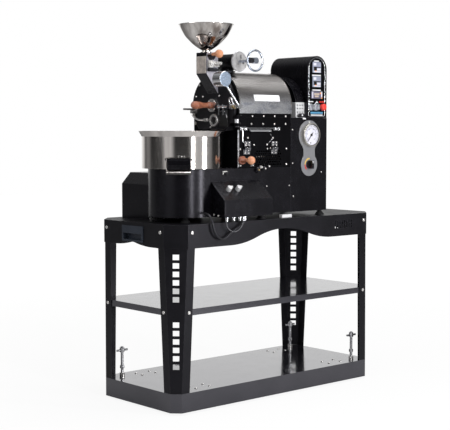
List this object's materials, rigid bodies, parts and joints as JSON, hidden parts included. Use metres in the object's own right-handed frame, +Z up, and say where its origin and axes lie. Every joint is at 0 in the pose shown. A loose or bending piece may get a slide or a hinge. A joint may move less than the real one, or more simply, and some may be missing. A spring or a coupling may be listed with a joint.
{
  "type": "drum coffee roaster",
  "caption": "Floor-standing drum coffee roaster on a wheeled steel stand, with a hopper, round cooling bin, gauge, arched control box and a swinging face plate.",
  "frame": {"origin": "on the floor, under the middle of the roaster and its stand", "axes": "+X along the drum from the cooling bin end to the control tower end, +Y from the control side to the back, +Z up"},
  "size_m": [1.208, 0.5768, 1.588],
  "materials": {
    "stand_paint": "textured satin black",
    "shelf_paint": "satin black",
    "pull_plastic": "moulded",
    "bolt_steel": "bright",
    "caster_steel": "zinc plated",
    "caster_tread": "moulded",
    "jack_steel": "zinc plated",
    "base_paint": "textured satin black",
    "foot_rubber": "moulded",
    "knob_chrome": "polished",
    "connector_metal": "plated",
    "cable_black": "matte",
    "lead_braid": "braided",
    "bin_steel": "polished stainless",
    "screen_steel": "perforated",
    "flap_paint": "satin",
    "housing_paint": "heat resistant black",
    "burner_steel": "heat tinted",
    "knob_wood": "turned and oiled",
    "drum_steel": "rolled",
    "belt_rubber": "moulded",
    "pulley_alloy": "turned",
    "motor_paint": "grey enamel",
    "cover_steel": "polished stainless",
    "guard_paint": "perforated",
    "plate_iron": "painted casting",
    "lever_chrome": "polished",
    "hopper_steel": "spun stainless",
    "neck_paint": "satin",
    "gate_steel": "rolled",
    "duct_steel": "satin black",
    "panel_black": "satin",
    "switch_silver": "anodised",
    "stop_red": "moulded",
    "gauge_plate": "satin",
    "needle_black": "flat"
  },
  "bodies": {
    "root": {"stand_top": "stand_paint", "pull_handles": "pull_plastic", "legs": "stand_paint", "middle_shelf": "shelf_paint", "lower_shelf": "shelf_paint", "stand_hardware": "bolt_steel", "base_housing": "base_paint", "machine_feet": "foot_rubber", "fan_box": "base_paint", "control_box": "base_paint", "box_connectors": "connector_metal", "main_cable": "cable_black", "box_lead": "lead_braid", "control_tower": "base_paint", "cooling_bin": "bin_steel", "bin_screen": "screen_steel", "burner_housing": "housing_paint", "burner_tubes": "burner_steel", "drive_belt": "belt_rubber", "drive_motors": "motor_paint", "drum_cover": "cover_steel", "drive_guard": "guard_paint", "exhaust_duct": "duct_steel", "arch_box": "base_paint", "control_panel": "panel_black", "gauge": "gauge_plate"},
    "caster_fork_1": {"caster_fork_1": "caster_steel"},
    "caster_wheel_1": {"caster_wheel_1": "caster_tread"},
    "jack_screw_1": {"jack_screw_1": "jack_steel"},
    "caster_fork_2": {"caster_fork_2": "caster_steel"},
    "caster_wheel_2": {"caster_wheel_2": "caster_tread"},
    "jack_screw_2": {"jack_screw_2": "jack_steel"},
    "caster_fork_3": {"caster_fork_3": "caster_steel"},
    "caster_wheel_3": {"caster_wheel_3": "caster_tread"},
    "jack_screw_3": {"jack_screw_3": "jack_steel"},
    "caster_fork_4": {"caster_fork_4": "caster_steel"},
    "caster_wheel_4": {"caster_wheel_4": "caster_tread"},
    "jack_screw_4": {"jack_screw_4": "jack_steel"},
    "face_plate": {"face_plate": "plate_iron", "hopper": "hopper_steel", "hopper_neck": "neck_paint", "plate_fittings": "lever_chrome"},
    "discharge_door": {"discharge_door": "lever_chrome"},
    "hopper_gate": {"hopper_gate": "gate_steel"},
    "trier": {"trier": "knob_wood"},
    "fan_impeller": {"fan_impeller": "burner_steel"},
    "box_knob_left": {"box_knob_left": "knob_chrome"},
    "box_knob_right": {"box_knob_right": "knob_chrome"},
    "bin_flap": {"bin_flap": "flap_paint"},
    "stirrer": {"stirrer": "screen_steel"},
    "burner_door": {"burner_door": "housing_paint"},
    "airflow_knob": {"airflow_knob": "knob_wood"},
    "drum": {"drum": "drum_steel"},
    "motor_pulley": {"motor_pulley": "pulley_alloy"},
    "damper_wheel": {"damper_wheel": "knob_chrome"},
    "switch_left": {"switch_left": "switch_silver"},
    "switch_right": {"switch_right": "switch_silver"},
    "stop_button": {"stop_button": "stop_red"},
    "gauge_needle": {"gauge_needle": "needle_black"},
    "gas_knob": {"gas_knob": "needle_black"}
  },
  "joints": [
    {"name": "caster_1_swivel", "type": "hinge", "parent": "root", "child": "caster_fork_1", "pos_m": [-0.397, -0.1654, 0.08], "axis": [0, 0, 1], "continuous": true},
    {"name": "caster_1_roll", "type": "hinge", "parent": "caster_fork_1", "child": "caster_wheel_1", "pos_m": [-0.377, -0.1654, 0.025], "axis": [0, 1, 0], "continuous": true},
    {"name": "caster_2_swivel", "type": "hinge", "parent": "root", "child": "caster_fork_2", "pos_m": [-0.397, 0.1946, 0.08], "axis": [0, 0, 1], "continuous": true},
    {"name": "caster_2_roll", "type": "hinge", "parent": "caster_fork_2", "child": "caster_wheel_2", "pos_m": [-0.377, 0.1946, 0.025], "axis": [0, 1, 0], "continuous": true},
    {"name": "caster_3_swivel", "type": "hinge", "parent": "root", "child": "caster_fork_3", "pos_m": [0.397, -0.1654, 0.08], "axis": [0, 0, 1], "continuous": true},
    {"name": "caster_3_roll", "type": "hinge", "parent": "caster_fork_3", "child": "caster_wheel_3", "pos_m": [0.417, -0.1654, 0.025], "axis": [0, 1, 0], "continuous": true},
    {"name": "caster_4_swivel", "type": "hinge", "parent": "root", "child": "caster_fork_4", "pos_m": [0.397, 0.1946, 0.08], "axis": [0, 0, 1], "continuous": true},
    {"name": "caster_4_roll", "type": "hinge", "parent": "caster_fork_4", "child": "caster_wheel_4", "pos_m": [0.417, 0.1946, 0.025], "axis": [0, 1, 0], "continuous": true},
    {"name": "jack_1_screw", "type": "slide", "parent": "root", "child": "jack_screw_1", "axis": [0, 0, 1], "range_m": [-0.015, 0]},
    {"name": "jack_2_screw", "type": "slide", "parent": "root", "child": "jack_screw_2", "axis": [0, 0, 1], "range_m": [-0.015, 0]},
    {"name": "jack_3_screw", "type": "slide", "parent": "root", "child": "jack_screw_3", "axis": [0, 0, 1], "range_m": [-0.015, 0]},
    {"name": "jack_4_screw", "type": "slide", "parent": "root", "child": "jack_screw_4", "axis": [0, 0, 1], "range_m": [-0.015, 0]},
    {"name": "face_plate_swing", "type": "hinge", "parent": "root", "child": "face_plate", "pos_m": [-0.228, -0.2094, 1.183], "axis": [0, 0, 1], "range_deg": [0, 100]},
    {"name": "discharge_door_lift", "type": "hinge", "parent": "face_plate", "child": "discharge_door", "pos_m": [-0.248, -0.1354, 1.243], "axis": [0, 1, 0], "range_deg": [0, 40]},
    {"name": "hopper_gate_pull", "type": "slide", "parent": "face_plate", "child": "hopper_gate", "axis": [0, -1, 0], "range_m": [0, 0.045]},
    {"name": "trier_pull", "type": "slide", "parent": "face_plate", "child": "trier", "axis": [-1, 0, 0], "range_m": [0, 0.1]},
    {"name": "fan_spin", "type": "hinge", "parent": "root", "child": "fan_impeller", "pos_m": [-0.307, 0.1896, 0.867], "axis": [0, 1, 0], "continuous": true},
    {"name": "box_knob_left_turn", "type": "hinge", "parent": "root", "child": "box_knob_left", "pos_m": [-0.308, -0.2454, 0.89922], "axis": [0, -0.6544, 0.7561], "range_deg": [-60, 60]},
    {"name": "box_knob_right_turn", "type": "hinge", "parent": "root", "child": "box_knob_right", "pos_m": [-0.257, -0.2454, 0.89922], "axis": [0, -0.6544, 0.7561], "range_deg": [-60, 60]},
    {"name": "bin_flap_swing", "type": "hinge", "parent": "root", "child": "bin_flap", "pos_m": [-0.52651, -0.19348, 1.029], "axis": [-0.7193, 0.6947, 0], "range_deg": [0, 75]},
    {"name": "stirrer_spin", "type": "hinge", "parent": "root", "child": "stirrer", "pos_m": [-0.398, -0.0604, 1.03], "axis": [0, 0, 1], "continuous": true},
    {"name": "burner_door_drop", "type": "hinge", "parent": "root", "child": "burner_door", "pos_m": [-0.088, -0.2102, 1.0705], "axis": [1, 0, 0], "range_deg": [0, 90]},
    {"name": "airflow_pull", "type": "slide", "parent": "root", "child": "airflow_knob", "axis": [0, -1, 0], "range_m": [0, 0.03]},
    {"name": "drum_spin", "type": "hinge", "parent": "root", "child": "drum", "pos_m": [0, -0.0604, 1.248], "axis": [1, 0, 0], "continuous": true},
    {"name": "motor_pulley_spin", "type": "hinge", "parent": "root", "child": "motor_pulley", "pos_m": [0.15, -0.0604, 1.1], "axis": [1, 0, 0], "continuous": true},
    {"name": "damper_turn", "type": "hinge", "parent": "root", "child": "damper_wheel", "pos_m": [-0.15, -0.1854, 1.434], "axis": [0, 1, 0], "range_deg": [0, 90]},
    {"name": "switch_left_turn", "type": "hinge", "parent": "root", "child": "switch_left", "pos_m": [0.216, -0.2104, 1.247], "axis": [0, -1, 0], "range_deg": [-45, 45]},
    {"name": "switch_right_turn", "type": "hinge", "parent": "root", "child": "switch_right", "pos_m": [0.249, -0.2104, 1.247], "axis": [0, -1, 0], "range_deg": [-45, 45]},
    {"name": "stop_button_press", "type": "slide", "parent": "root", "child": "stop_button", "axis": [0, 1, 0], "range_m": [0, 0.005], "stiffness_N_per_m": 400},
    {"name": "gauge_needle_turn", "type": "hinge", "parent": "root", "child": "gauge_needle", "pos_m": [0.206, -0.2174, 1.125], "axis": [0, 1, 0], "range_deg": [0, 280]},
    {"name": "gas_knob_turn", "type": "hinge", "parent": "root", "child": "gas_knob", "pos_m": [0.206, -0.2174, 0.995], "axis": [0, -1, 0], "range_deg": [0, 270]}
  ],
  "couplings": [
    {"joint": "motor_pulley_spin", "follows": "drum_spin", "ratio": 3.1429}
  ]
}
